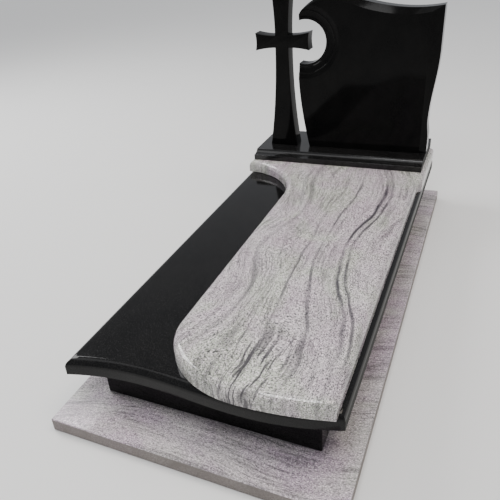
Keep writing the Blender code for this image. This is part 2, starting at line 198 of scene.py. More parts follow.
def flow_group():
    """Where a point lies in the stone's flow: its x less the sideways sweep of the veins there.

    The sweep is the right wave and its lean in the right zone, the left wave in
    the left zone, and everywhere a slow bend and a small ripple of noise.
    """
    tree = bpy.data.node_groups.new("granite_flow", "ShaderNodeTree")
    socket(tree, "Vector", "NodeSocketVector")
    socket(tree, "Flow", "NodeSocketVector", output=True)
    socket(tree, "Across", "NodeSocketFloat", output=True)
    start = tree.nodes.new("NodeGroupInput").outputs["Vector"]
    end = tree.nodes.new("NodeGroupOutput")
    x, y, z = axes(tree, start)
    right = wave(tree, y, RIGHT_WAVE_CREST, RIGHT_WAVE_TURN, RIGHT_WAVE_REACH)
    right = calculate(tree, "MULTIPLY_ADD", y, RIGHT_LEAN, right)
    left = wave(tree, y, LEFT_WAVE_CREST, LEFT_WAVE_TURN, LEFT_WAVE_REACH)
    sweep = calculate(tree, "MULTIPLY", right, between(tree, x, *RIGHT_ZONE))
    sweep = calculate(tree, "MULTIPLY_ADD", left, between(tree, x, *LEFT_ZONE, 1.0, 0.0), sweep)
    bend = calculate(tree, "SUBTRACT", noise(tree, start, BENDS), 0.5)
    sweep = calculate(tree, "MULTIPLY_ADD", bend, BEND_REACH, sweep)
    ripple = calculate(tree, "SUBTRACT", noise(tree, start, RIPPLES), 0.5)
    sweep = calculate(tree, "MULTIPLY_ADD", ripple, RIPPLE_REACH, sweep)
    across = calculate(tree, "SUBTRACT", x, sweep)
    join = tree.nodes.new("ShaderNodeCombineXYZ")
    for place, value in zip(join.inputs, (across, y, z)):
        tree.links.new(value, place)
    tree.links.new(join.outputs["Vector"], end.inputs["Flow"])
    tree.links.new(across, end.inputs["Across"])
    return tree


VEIN_CORE = 0.15


def vein_group():
    """One vein: 1 on the line where the flow has the vein's own value, 0 at its half width."""
    tree = bpy.data.node_groups.new("granite_vein", "ShaderNodeTree")
    for name in ("Across", "Line", "Half width"):
        socket(tree, name, "NodeSocketFloat")
    socket(tree, "Vein", "NodeSocketFloat", output=True)
    given = tree.nodes.new("NodeGroupInput").outputs
    end = tree.nodes.new("NodeGroupOutput")
    away = calculate(tree, "ABSOLUTE", calculate(tree, "SUBTRACT", given["Across"], given["Line"]))
    away = calculate(tree, "DIVIDE", away, given["Half width"])
    tree.links.new(between(tree, away, VEIN_CORE, 1.0, 1.0, 0.0), end.inputs["Vein"])
    return tree


# Each kind of marking: its lumps a metre across the flow, along it and in depth,
# and the two values of the noise between which it goes from least to full.
STREAKS = (64.0, 3.2, 8.0)
STREAK_MARKS = (0.46, 0.66)
LINES = (170.0, 7.0, 14.0)
LINE_MARKS = (0.50, 0.66)
LINE_MARK_CHANGES = (-0.035, -0.08)
DASHES = (390.0, 140.0, 390.0)
DASH_MARKS = (0.49, 0.61)
CRYSTALS = (300.0, 210.0, 300.0)
CRYSTAL_MARKS = (0.50, 0.62)
CLOUDS = (9.0, 6.0, 6.0)
CLOUD_MARKS = (0.36, 0.64)
TINTS = (5.5, 4.0, 4.0)
TINT_MARKS = (0.44, 0.62)
PATCHES = (8.0, 5.0, 4.0)
PATCH_MARKS = (0.36, 0.60)
PATCH_LEAST = 0.30


def grain_group():
    """Masks for the stone's texture: long streaks, dark dashes, light crystals, two slow clouds.

    Where the lines crowd, their two values drop, so more of the thin ones show.
    """
    tree = bpy.data.node_groups.new("granite_grain", "ShaderNodeTree")
    socket(tree, "Flow", "NodeSocketVector")
    socket(tree, "Crowd", "NodeSocketFloat")
    for name in ("Streak", "Dash", "Crystal", "Cloud", "Tint"):
        socket(tree, name, "NodeSocketFloat", output=True)
    given = tree.nodes.new("NodeGroupInput").outputs
    flow, crowd = given["Flow"], given["Crowd"]
    end = tree.nodes.new("NodeGroupOutput")
    patch = between(tree, noise(tree, flow, PATCHES), *PATCH_MARKS, PATCH_LEAST, 1.0)
    wide = between(tree, noise(tree, flow, STREAKS, rough=0.55), *STREAK_MARKS)
    wide = calculate(tree, "MULTIPLY", wide, patch)
    low = calculate(tree, "MULTIPLY_ADD", crowd, LINE_MARK_CHANGES[0], LINE_MARKS[0])
    high = calculate(tree, "MULTIPLY_ADD", crowd, LINE_MARK_CHANGES[1], LINE_MARKS[1])
    thin = between(tree, noise(tree, flow, LINES, rough=0.55), low, high)
    thin = calculate(tree, "MULTIPLY", thin, calculate(tree, "MAXIMUM", patch, crowd))
    dash = noise(tree, flow, DASHES, rough=0.6)
    crystal = noise(tree, flow, CRYSTALS, rough=0.55, warp=0.4)
    cloud = noise(tree, flow, CLOUDS, detail=3.0, rough=0.6)
    tint = noise(tree, flow, TINTS, warp=0.5)
    tree.links.new(calculate(tree, "MAXIMUM", wide, thin), end.inputs["Streak"])
    tree.links.new(between(tree, dash, *DASH_MARKS), end.inputs["Dash"])
    tree.links.new(between(tree, crystal, *CRYSTAL_MARKS), end.inputs["Crystal"])
    tree.links.new(between(tree, cloud, *CLOUD_MARKS), end.inputs["Cloud"])
    tree.links.new(between(tree, tint, *TINT_MARKS), end.inputs["Tint"])
    return tree


flow_tree = flow_group()
vein_tree = vein_group()
grain_tree = grain_group()


CRYSTAL_HEIGHT = 0.0002


def polish(tree, shader, height, roughness, strength):
    """A polished surface whose crystals stand out by a hair's breadth."""
    feed(tree, shader.inputs["Roughness"], roughness)
    bump = tree.nodes.new("ShaderNodeBump")
    bump.inputs["Strength"].default_value = strength
    bump.inputs["Distance"].default_value = CRYSTAL_HEIGHT
    tree.links.new(height, bump.inputs["Height"])
    tree.links.new(bump.outputs["Normal"], shader.inputs["Normal"])


# The pale stone's colours, the share of each that shows at most, and how its
# lines and veins change along it. The side shade is painted shade that darkens
# the sawn sides. The last two stand for no bundle of lines and for no sawn,
# shaded part.
PALE_LILAC = (0.46, 0.375, 0.425)
PALE_GREY = (0.54, 0.495, 0.50)
PALE_GREEN = (0.46, 0.53, 0.39)
GREEN_SHARE = 0.60
PALE_CRYSTAL = (0.98, 0.895, 0.925)
CRYSTAL_SHARE = 0.88
PALE_STREAK = (0.070, 0.064, 0.070)
STREAK_SHARE = 0.56
PALE_DASH = (0.036, 0.033, 0.037)
DASH_SHARE = 0.92
DASH_ROUGHNESS = 0.06
CROWD_ENDS = (-0.84, -0.62)
CROWD_STREAK_CHANGE = 0.42
CROWD_DASH_CHANGE = -0.15
PALE_VEIN = (0.045, 0.042, 0.050)
VEIN_FOOT = (-0.88, -0.62)
VEIN_FOOT_LEAST = 0.30
VEIN_HEAD = (0.40, 0.60)
VEIN_HEAD_LEAST = 0.25
GAPS = (12.0, 4.5, 4.0)
GAP_MARKS = (0.34, 0.56)
GAP_LEAST = 0.45
# Painted shade: a darker brown-grey laid over the sawn sides, and its share.
PALE_SIDE_SHADE = (0.150, 0.128, 0.112)
SIDE_SHADE_SHARE = 0.85
SAWN_SHADE_EDGE = 0.001
SAWN_ROUGHNESS = 0.50
PALE_IOR = 1.58
PALE_ROUGHNESS = 0.05
PALE_RELIEF = 0.05
NO_BUNDLE = (5.0, 1.0)
NOTHING_SAWN_OR_SHADED = -1.0


def pale_granite(
    name,
    shift=(0.0, 0.0, 0.0),
    turn=0.0,
    vein_lines=(),
    bundle=NO_BUNDLE,
    lilac=PALE_LILAC,
    green=GREEN_SHARE,
    contrast=1.0,
    roughness=PALE_ROUGHNESS,
    sawn_and_shaded_below=NOTHING_SAWN_OR_SHADED,
):
    """Polished pale granite. Shift and turn place the piece in the block it was sawn from.

    The bundle is the place and half width of the lines that crowd at the foot.
    Below the sawn height the stone is only sawn and rougher, and painted shade darkens it.
    """
    material = bpy.data.materials.new(name)
    material.use_nodes = True
    tree = material.node_tree
    shader = tree.nodes["Principled BSDF"]
    shader.inputs["IOR"].default_value = PALE_IOR
    where = tree.nodes.new("ShaderNodeTexCoord").outputs["Object"]
    block = tree.nodes.new("ShaderNodeMapping")
    block.inputs["Location"].default_value = shift
    block.inputs["Rotation"].default_value = (0.0, 0.0, turn)
    tree.links.new(where, block.inputs["Vector"])
    flow = use_group(tree, flow_tree, Vector=block.outputs["Vector"])
    across = flow["Across"]
    along = axes(tree, flow["Flow"])["Y"]
    crowd = use_group(tree, vein_tree, Across=across, Line=bundle[0], Half_width=bundle[1])["Vein"]
    crowd = calculate(tree, "MULTIPLY", crowd, between(tree, along, *CROWD_ENDS, 1.0, 0.0))
    grain = use_group(tree, grain_tree, Flow=flow["Flow"], Crowd=crowd)
    body = blend(tree, grain["Cloud"], lilac, PALE_GREY)
    body = stain(tree, body, grain["Tint"], green, PALE_GREEN)
    body = stain(tree, body, grain["Crystal"], CRYSTAL_SHARE, PALE_CRYSTAL)
    share = calculate(tree, "MULTIPLY_ADD", crowd, CROWD_STREAK_CHANGE, STREAK_SHARE)
    body = stain(tree, body, grain["Streak"], share, PALE_STREAK)
    share = calculate(tree, "MULTIPLY_ADD", crowd, CROWD_DASH_CHANGE, DASH_SHARE * contrast)
    body = stain(tree, body, grain["Dash"], share, PALE_DASH)
    foot = between(tree, along, *VEIN_FOOT, VEIN_FOOT_LEAST, 1.0)
    head = between(tree, along, *VEIN_HEAD, 1.0, VEIN_HEAD_LEAST)
    gaps = between(tree, noise(tree, flow["Flow"], GAPS), *GAP_MARKS, GAP_LEAST, 1.0)
    run = calculate(tree, "MULTIPLY", calculate(tree, "MULTIPLY", foot, head), gaps)
    for line, half_width, darkness in vein_lines:
        vein = use_group(tree, vein_tree, Across=across, Line=line, Half_width=half_width)["Vein"]
        body = stain(tree, body, calculate(tree, "MULTIPLY", vein, run), darkness, PALE_VEIN)
    # The sawn sides: rougher, and painted darker as painted shade.
    sawn_shaded_mask = between(tree, axes(tree, where)["Z"], sawn_and_shaded_below - SAWN_SHADE_EDGE, sawn_and_shaded_below, 1.0, 0.0)
    body = stain(tree, body, sawn_shaded_mask, SIDE_SHADE_SHARE, PALE_SIDE_SHADE)
    tree.links.new(body, shader.inputs["Base Color"])
    finish = calculate(tree, "MULTIPLY_ADD", grain["Dash"], DASH_ROUGHNESS, roughness)
    finish = calculate(tree, "MULTIPLY_ADD", sawn_shaded_mask, SAWN_ROUGHNESS, finish)
    polish(tree, shader, grain["Dash"], finish, PALE_RELIEF)
    return material


# The base's own part of the block. Each vein is its place across the flow, its
# half width and its darkness. The polish ends on the arris, just below the top;
# below it the sawn sides are rougher and painted darker as painted shade.
BASE_SHIFT = (0.35, 0.13, 0.0)
BASE_TURN = 1.50
BASE_VEINS = ((-0.60, 0.006, 0.45), (-0.66, 0.010, 0.35), (-0.71, 0.005, 0.45))
BASE_LILAC = (0.47, 0.37, 0.45)
BASE_GREEN_SHARE = 0.30
BASE_CONTRAST = 0.64
BASE_ROUGHNESS = 0.17
BASE_POLISH_DEPTH = 0.0025

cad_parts["base_slab"].material_slots[0].material = pale_granite(
    "base_granite",
    shift=BASE_SHIFT,
    turn=BASE_TURN,
    vein_lines=BASE_VEINS,
    lilac=BASE_LILAC,
    green=BASE_GREEN_SHARE,
    contrast=BASE_CONTRAST,
    roughness=BASE_ROUGHNESS,
    sawn_and_shaded_below=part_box("base_slab")[1][2] - BASE_POLISH_DEPTH,
)


# The kerb: four bars of black granite set on edge on the base and glued at the
# corners. They stand back from the covers' edges, so they lie in shade. The
# stone is nearly even, with grey dashes and a few light crystals.

BLACK_BODY = (0.0018, 0.0018, 0.0018)
BLACK_CLOUD = (0.0034, 0.0033, 0.0032)
BLACK_DASH = (0.016, 0.016, 0.017)
BLACK_CRYSTAL = (0.040, 0.038, 0.037)
BLACK_HONED = (0.022, 0.023, 0.020)
BLACK_DASH_SHARE = 0.40
BLACK_CRYSTAL_SHARE = 0.20
HONED_SHARE = 0.80
HONED_EDGE = 0.0012
HONED_ROUGHNESS = 0.60
NOTHING_HONED = 2.0
BLACK_IOR = 1.45
BLACK_ROUGHNESS = 0.07
BLACK_SHINE = 0.24
BLACK_RELIEF = 0.03
CRYSTAL_ROUGHNESS = 0.05
KERB_ROUGHNESS = 0.12
KERB_SHINE = 0.16


def black_granite(
    name, roughness=BLACK_ROUGHNESS, specks=1.0, shine=BLACK_SHINE, honed_from=NOTHING_HONED
):
    """Polished black granite: nearly black, with fine grey and a few light specks.

    Faces further from the middle than honed_from are ground but not polished.
    """
    material = bpy.data.materials.new(name)
    material.use_nodes = True
    tree = material.node_tree
    shader = tree.nodes["Principled BSDF"]
    shader.inputs["IOR"].default_value = BLACK_IOR
    shader.inputs["Specular IOR Level"].default_value = shine
    where = tree.nodes.new("ShaderNodeTexCoord").outputs["Object"]
    grain = use_group(tree, grain_tree, Flow=where)
    body = blend(tree, grain["Cloud"], BLACK_BODY, BLACK_CLOUD)
    body = stain(tree, body, grain["Dash"], BLACK_DASH_SHARE * specks, BLACK_DASH)
    body = stain(tree, body, grain["Crystal"], BLACK_CRYSTAL_SHARE * specks, BLACK_CRYSTAL)
    away = calculate(tree, "ABSOLUTE", axes(tree, where)["X"])
    honed = between(tree, away, honed_from - HONED_EDGE, honed_from)
    body = stain(tree, body, honed, HONED_SHARE, BLACK_HONED)
    tree.links.new(body, shader.inputs["Base Color"])
    finish = calculate(tree, "MULTIPLY_ADD", grain["Crystal"], CRYSTAL_ROUGHNESS, roughness)
    finish = calculate(tree, "MULTIPLY_ADD", honed, HONED_ROUGHNESS, finish)
    polish(tree, shader, grain["Dash"], finish, BLACK_RELIEF)
    return material


kerb_granite = black_granite("kerb_granite", roughness=KERB_ROUGHNESS, shine=KERB_SHINE)
for bar in ("kerb_front", "kerb_rear", "kerb_left", "kerb_right"):
    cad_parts[bar].material_slots[0].material = kerb_granite


# The black cover: a 60 mm slab of black granite on the kerb. Its front is cut in
# a wave and its upper edge turned to a quarter round. Top and front are polished,
# the two long sides only honed.

COVER_ROUND = 0.028
COVER_ARRIS = 0.002
COVER_ROUND_RINGS = 13
SHARP_TURN = 20.0
CORNER_CLEARANCE = 1.5 * COVER_ROUND
SMOOTH_BELOW = 32.0
SAME_POINT = 1e-5
FRONT_STEPS = 41
SIDE_STEPS = 30
REAR_STEPS = 12
BLACK_TIP_Y = -0.998
BLACK_HOLLOW = (-0.190, -0.958)
BLACK_BULGE = (0.150, -0.974)
BLACK_CORNER_Y = -0.922


def smooth_edges(mesh, angle):
    """Shade a mesh smooth, except across edges sharper than an angle in degrees."""
    mesh.polygons.foreach_set("use_smooth", np.ones(len(mesh.polygons), dtype=bool))
    mesh.set_sharp_from_angle(angle=math.radians(angle))


def offset(outline, inset):
    """An outline moved inwards by mitres: the sum of two sides' normals over one plus their product."""
    before = outline - np.roll(outline, 1, axis=0)
    after = np.roll(outline, -1, axis=0) - outline
    first, second = (
        np.stack([-d[:, 1], d[:, 0]], axis=1) / np.linalg.norm(d, axis=1)[:, None]
        for d in (before, after)
    )
    mitre = (first + second) / (1.0 + np.sum(first * second, axis=1))[:, None]
    return outline + inset * mitre


def stack_rings(name, rings):
    """A closed solid through rings of equal length: quads between them, a flat face at each end."""
    count, size = len(rings), len(rings[0])
    index = np.arange(count * size).reshape(count, size)
    after = np.roll(index, -1, axis=1)
    sides = np.stack([index[:-1], after[:-1], after[1:], index[1:]], axis=-1).reshape(-1, 4)
    faces = sides.tolist() + [index[0][::-1].tolist(), index[-1].tolist()]
    mesh = bpy.data.meshes.new(name)
    mesh.from_pydata(np.concatenate(rings).tolist(), [], faces)
    mesh.update()
    return mesh


def add_piece(name, mesh, material, node):
    """Put a finished mesh into the scene as the piece that stands for a CAD node."""
    mesh.materials.clear()
    mesh.materials.append(material)
    piece = bpy.data.objects.new(name, mesh)
    bpy.context.scene.collection.objects.link(piece)
    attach(piece, "root")
    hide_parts(node)
    return piece


def without_doubles(points):
    """The points of an outline, without those that lie on the one before."""
    step = np.linalg.norm(points - np.roll(points, 1, axis=0), axis=1)
    return points[step > SAME_POINT]


def clear_corners(outline):
    """The outline less the points so near a sharp corner that the rounding would cross there."""
    before = outline - np.roll(outline, 1, axis=0)
    after = np.roll(outline, -1, axis=0) - outline
    lengths = np.linalg.norm(before, axis=1) * np.linalg.norm(after, axis=1)
    corner = np.sum(before * after, axis=1) / lengths < math.cos(math.radians(SHARP_TURN))
    apart = np.linalg.norm(outline[:, None] - outline[corner][None], axis=2)
    return outline[corner | (apart > CORNER_CLEARANCE).all(axis=1)]


def slab_mesh(name, outline, bottom, top):
    """A slab: arris below, upright side, quarter round above, carried round the outline."""
    outline = clear_corners(outline)
    turn = np.linspace(0.0, math.pi / 2, COVER_ROUND_RINGS)
    insets = np.concatenate([[COVER_ARRIS, 0.0], COVER_ROUND * (1 - np.cos(turn))])
    rounding = top - COVER_ROUND * (1 - np.sin(turn))
    heights = np.concatenate([[bottom, bottom + COVER_ARRIS], rounding])
    rings = []
    for inset, height in zip(insets, heights):
        flat = offset(outline, inset)
        rings.append(np.column_stack([flat, np.full(len(flat), height)]))
    mesh = stack_rings(name, rings)
    smooth_edges(mesh, SMOOTH_BELOW)
    return mesh


def straight(start, end, count):
    """Points along a line, without its last one."""
    return np.linspace(start, end, count, endpoint=False)


def black_cover_outline():
    """Anticlockwise: three easings between the front's tip, hollow, bulge and corner, then the sides.

    The first goes with the square of the way still to go, the second with half a
    cosine wave, and the third with the square of the way gone.
    """
    (left, _, _), (right, rear, _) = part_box("lower_cover")
    t = np.linspace(0.0, 1.0, FRONT_STEPS)
    hollow_x, hollow_y = BLACK_HOLLOW
    bulge_x, bulge_y = BLACK_BULGE
    tip_reach = hollow_y + (BLACK_TIP_Y - hollow_y) * (1 - t) ** 2
    bulge_reach = hollow_y + (bulge_y - hollow_y) * (1 - np.cos(math.pi * t)) / 2
    corner_reach = bulge_y + (BLACK_CORNER_Y - bulge_y) * t ** 2
    first = np.column_stack([left + (hollow_x - left) * t, tip_reach])
    second = np.column_stack([hollow_x + (bulge_x - hollow_x) * t, bulge_reach])
    third = np.column_stack([bulge_x + (right - bulge_x) * t, corner_reach])
    side = straight((right, BLACK_CORNER_Y), (right, rear), SIDE_STEPS)
    back = straight((right, rear), (left, rear), REAR_STEPS)
    far_side = straight((left, rear), (left, BLACK_TIP_Y), SIDE_STEPS)
    return without_doubles(np.concatenate([first, second, third, side, back, far_side]))


(_, _, black_bottom), (black_side, _, black_top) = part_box("lower_cover")
polished_black = black_granite("black_granite_polished", honed_from=black_side)
black_cover_mesh = slab_mesh("black_cover", black_cover_outline(), black_bottom, black_top)
black_cover = add_piece(
    "black_cover", black_cover_mesh, polished_black, "lower_cover"
)


# The pale cover: a second 60 mm slab, of the same granite as the base, laid on
# the black one. Its left edge is a long S, and its right side stands back from
# the black slab as far as the head. Its veins run from head to foot.

# The front bend reaches so far across and along, and the step lies between two
# places along the right side. A vein is its place, half width and darkness.
BEND_STEPS = 61
HEAD_STEPS = 8
PALE_EDGE_X = -0.148
PALE_RIGHT_X = 0.4375
PALE_BULGE_Y = -0.990
PALE_CORNER_Y = -0.953
PALE_FRONT_BEND = (0.298, 0.250)
PALE_HEAD_BEND = 0.357
PALE_HEAD_Y = 0.657
PALE_STEP = (0.581, 0.605)
COVER_VEINS = (
    (0.298, 0.0120, 0.95),
    (0.326, 0.0095, 0.85),
    (0.190, 0.0090, 0.75),
    (0.118, 0.0080, 0.75),
    (-0.022, 0.0190, 0.55),
)
COVER_BUNDLE = (0.130, 0.100)


def pale_cover_outline():
    """Anticlockwise: the front's half parabola, the stepped right side, rear, left side, then the S.

    The S is two quarter ellipses that turn opposite ways, joined by a straight.
    """
    (left, _, _), (right, rear, _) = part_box("upper_cover")
    across, along = PALE_FRONT_BEND
    bend_x = PALE_EDGE_X + across
    head_y = PALE_HEAD_Y - PALE_HEAD_BEND
    foot_y = PALE_BULGE_Y + along
    t = np.linspace(0.0, 1.0, BEND_STEPS)
    front_y = PALE_BULGE_Y + (PALE_CORNER_Y - PALE_BULGE_Y) * t ** 2
    front = np.column_stack([bend_x + (PALE_RIGHT_X - bend_x) * t, front_y])
    side = straight((PALE_RIGHT_X, PALE_CORNER_Y), (PALE_RIGHT_X, PALE_STEP[0]), SIDE_STEPS)
    step = [(PALE_RIGHT_X, PALE_STEP[0])]
    head = straight((right, PALE_STEP[1]), (right, rear), HEAD_STEPS)
    back = straight((right, rear), (left, rear), REAR_STEPS)
    end = straight((left, rear), (left, PALE_HEAD_Y), HEAD_STEPS)
    turn = np.linspace(math.pi / 2, 0.0, BEND_STEPS)
    upper_x = left + (PALE_EDGE_X - left) * np.cos(turn)
    upper = np.column_stack([upper_x, head_y + PALE_HEAD_BEND * np.sin(turn)])
    long_edge = straight((PALE_EDGE_X, head_y), (PALE_EDGE_X, foot_y), SIDE_STEPS)
    turn = np.linspace(math.pi, 1.5 * math.pi, BEND_STEPS)
    lower = np.column_stack([bend_x + across * np.cos(turn), foot_y + along * np.sin(turn)])
    pieces = [front, side, step, head, back, end, upper, long_edge, lower]
    return without_doubles(np.concatenate(pieces))


(_, _, pale_bottom), (_, _, pale_top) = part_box("upper_cover")
cover_granite = pale_granite("cover_granite", vein_lines=COVER_VEINS, bundle=COVER_BUNDLE)
pale_cover_mesh = slab_mesh("pale_cover", pale_cover_outline(), pale_bottom, pale_top)
pale_cover = add_piece(
    "pale_cover", pale_cover_mesh, cover_granite, "upper_cover"
)


# The plinth: a block of black granite glued on the pale cover's head, with a
# cove worked along its front above a plain fascia. Its two ends are honed.

PLINTH_FASCIA = 0.027
PLINTH_COVE = 0.045
PLINTH_COVE_STEPS = 25
PLINTH_ARRIS = 0.0018
PLINTH_SHARP_TURN = 35.0
PLINTH_ROUGHNESS = 0.13
PLINTH_SPECKS = 1.6
PLINTH_SHINE = 0.45


def plinth_mesh():
    """The side profile run straight across: a rectangle with a quarter-ellipse cove at its front."""
    (left, front, bottom), (right, rear, top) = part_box("plinth")
    turn = np.linspace(0.0, math.pi / 2, PLINTH_COVE_STEPS)
    rise = top - bottom - PLINTH_FASCIA
    cove_y = front + PLINTH_COVE * np.sin(turn)
    cove = np.column_stack([cove_y, bottom + PLINTH_FASCIA + rise * (1 - np.cos(turn))])
    profile = np.concatenate([[(front, bottom)], cove, [(rear, top), (rear, bottom)]])
    ends = [np.column_stack([np.full(len(profile), x), profile]) for x in (right, left)]
    return stack_rings("plinth", ends)


plinth_black = black_granite(
    "black_granite_plinth",
    roughness=PLINTH_ROUGHNESS,
    specks=PLINTH_SPECKS,
    shine=PLINTH_SHINE,
    honed_from=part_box("plinth")[1][0],
)
plinth = add_piece("black_plinth", plinth_mesh(), plinth_black, "plinth")
arris = plinth.modifiers.new("arris", "BEVEL")
arris.width = PLINTH_ARRIS
arris.segments = 2
arris.limit_method = "ANGLE"
arris.angle_limit = math.radians(PLINTH_SHARP_TURN)
smooth_edges(plinth.data, SMOOTH_BELOW)


# The headstone: an upright slab of polished black granite, dowelled to the
# plinth. Its face is bevelled along the top and the right, and a moulding is
# sunk round the bite in its left edge.

# Heights are above the plinth. In a pair the first is across and the second up,
# but the crest's two runs go to its left and to its right.
STONE_LEFT = -0.165
STONE_SWELL = (0.056, 0.383)
STONE_SWELL_POWER = 1.6
STONE_RIGHT = 0.437
STONE_FOOT_RISE = 0.070
STONE_WAIST = (0.008, 0.158)
STONE_FLARE = (0.020, 0.500)
STONE_CORNER_RISE = 0.695
STONE_DIP = (0.220, 0.658)
STONE_TIP_RISE = 0.670
STONE_CREST = (-0.045, 0.764)
STONE_CREST_RUNS = (0.075, 0.045)
STONE_TIP_RUN = (0.016, 0.040)
STONE_SIDE_BEVEL = 0.052
STONE_TOP_BEVEL = 0.027
STONE_BEVEL_DEPTH = 0.018
STONE_OUTER = STONE_RIGHT + STONE_FLARE[0]
STONE_TIP_X = STONE_LEFT - STONE_SWELL[0]
STONE_SMOOTH_BELOW = 18.0
STONE_SIDE_STEPS = 70
STONE_TOP_STEPS = 70
STONE_HOOK_STEPS = 36
STONE_SWELL_STEPS = 40
WELD = 0.000005

# The bite and the moulding round it. Fillet, hollow and roll are shares of the
# moulding's width or depth: where each starts, and how much it adds.
BITE_CENTRE = (-0.190, 0.540)
BITE_RADIUS = 0.108
BITE_BAND = 0.072
BITE_DEPTH = 0.016
BITE_STEPS = 144
MOULDING_STEPS = 13
FILLET_WIDTH = 0.16
HOLLOW_WIDTH = (0.20, 0.42)
HOLLOW_DEPTH = (0.34, 0.50)
ROLL_WIDTH = (0.66, 0.34)
CUTTER_OVERRUN = 0.02

MONUMENT_ROUGHNESS = 0.05
MONUMENT_SPECKS = 0.35
MONUMENT_SHINE = 0.08


def curve_through(points, count):
    """A cubic curve with four control points, weighted by the powers of the share along it."""
    t = np.linspace(0.0, 1.0, count)[:, None]
    first, second, third, fourth = (np.asarray(p) for p in points)
    ends = (1 - t) ** 3 * first + t ** 3 * fourth
    return ends + 3 * t * (1 - t) ** 2 * second + 3 * t * t * (1 - t) * third


def right_side(up):
    """How far right the stone reaches: straight foot, cosine in to the waist, cosine out to the flare."""
    waist = STONE_RIGHT - STONE_WAIST[0]
    into = np.clip((up - STONE_FOOT_RISE) / (STONE_WAIST[1] - STONE_FOOT_RISE), 0, 1)
    out = np.clip((up - STONE_WAIST[1]) / (STONE_FLARE[1] - STONE_WAIST[1]), 0, 1)
    narrowing = (STONE_RIGHT - waist) * (1 - np.cos(math.pi * into)) / 2
    widening = (STONE_OUTER - waist) * (1 - np.cos(math.pi * out)) / 2
    return STONE_RIGHT - narrowing + widening


def stone_outline():
    """Anticlockwise as seen from the front, from the right foot, as (x, rise above the plinth).

    The right side, two cubic curves over the crest, the straight above the bite,
    and the left side, which swells with a power of the way down.
    """
    rise = np.linspace(0.0, STONE_FLARE[1], STONE_SIDE_STEPS)
    side = np.column_stack([right_side(rise), rise])
    crest_x, crest_up = STONE_CREST
    tip = (STONE_TIP_X, STONE_TIP_RISE)
    corner = (STONE_OUTER, STONE_CORNER_RISE)
    before_crest = (crest_x + STONE_CREST_RUNS[1], crest_up)
    after_crest = (crest_x - STONE_CREST_RUNS[0], crest_up)
    before_tip = (STONE_TIP_X + STONE_TIP_RUN[0], STONE_TIP_RISE + STONE_TIP_RUN[1])
    top = curve_through([corner, STONE_DIP, before_crest, STONE_CREST], STONE_TOP_STEPS)
    hook = curve_through([STONE_CREST, after_crest, before_tip, tip], STONE_HOOK_STEPS)
    over_bite = [(STONE_TIP_X, BITE_CENTRE[1])]
    t = np.linspace(0.0, 1.0, STONE_SWELL_STEPS)
    swell = STONE_SWELL[0] * (1 - t ** STONE_SWELL_POWER)
    left = np.column_stack([STONE_LEFT - swell, STONE_SWELL[1] * (1 - t)])
    return without_doubles(np.concatenate([side, top, hook, over_bite, left]))


def stone_face(outline):
    """The outline drawn in by the bevels: a straight upright edge on the right, a lowered one on top.

    Right of the crest the top is squeezed across in proportion. Left of it the
    drop grows in proportion from nothing at the tip.
    """
    x, up = outline[:, 0], outline[:, 1]
    side = STONE_OUTER - STONE_SIDE_BEVEL
    crest_x = STONE_CREST[0]
    over = up > STONE_TIP_RISE
    right = over & (x > crest_x)
    squeezed = crest_x + (x - crest_x) * (side - crest_x) / (STONE_OUTER - crest_x)
    face_x = np.where(right, squeezed, np.where(over, x, np.minimum(x, side)))
    left_drop = STONE_TOP_BEVEL * (x - STONE_TIP_X) / (crest_x - STONE_TIP_X)
    drop = np.where(right, STONE_TOP_BEVEL, left_drop)
    return np.column_stack([face_x, np.where(over, up - drop, up)])


def bite_profile(thickness):
    """Radius and height from behind the stone to its front: hole, fillet, hollow, roll, then the face.

    The hollow is a quarter ellipse, and the roll falls with half a cosine wave.
    """
    hollow = np.linspace(0.0, math.pi / 2, MOULDING_STEPS)
    roll = np.linspace(0.0, math.pi, MOULDING_STEPS)
    radius = np.concatenate([
        [BITE_RADIUS, BITE_RADIUS, BITE_RADIUS + FILLET_WIDTH * BITE_BAND],
        BITE_RADIUS + BITE_BAND * (HOLLOW_WIDTH[0] + HOLLOW_WIDTH[1] * np.sin(hollow)),
        BITE_RADIUS + BITE_BAND * (ROLL_WIDTH[0] + ROLL_WIDTH[1] * roll / math.pi),
        [BITE_RADIUS + BITE_BAND],
    ])
    depth = np.concatenate([
        [thickness + CUTTER_OVERRUN, BITE_DEPTH, BITE_DEPTH],
        BITE_DEPTH * (HOLLOW_DEPTH[0] + HOLLOW_DEPTH[1] * np.cos(hollow)),
        BITE_DEPTH * HOLLOW_DEPTH[0] * (1 + np.cos(roll)) / 2,
        [-CUTTER_OVERRUN],
    ])
    return np.column_stack([radius, -depth])


def turned_cutter(profile):
    """A profile of radius and height turned once about the Z axis, closed at both ends."""
    angles = np.linspace(0.0, math.tau, BITE_STEPS, endpoint=False)
    rings = [
        np.column_stack([r * np.cos(angles), r * np.sin(angles), np.full(BITE_STEPS, h)])
        for r, h in profile
    ]
    return stack_rings("bite", rings)


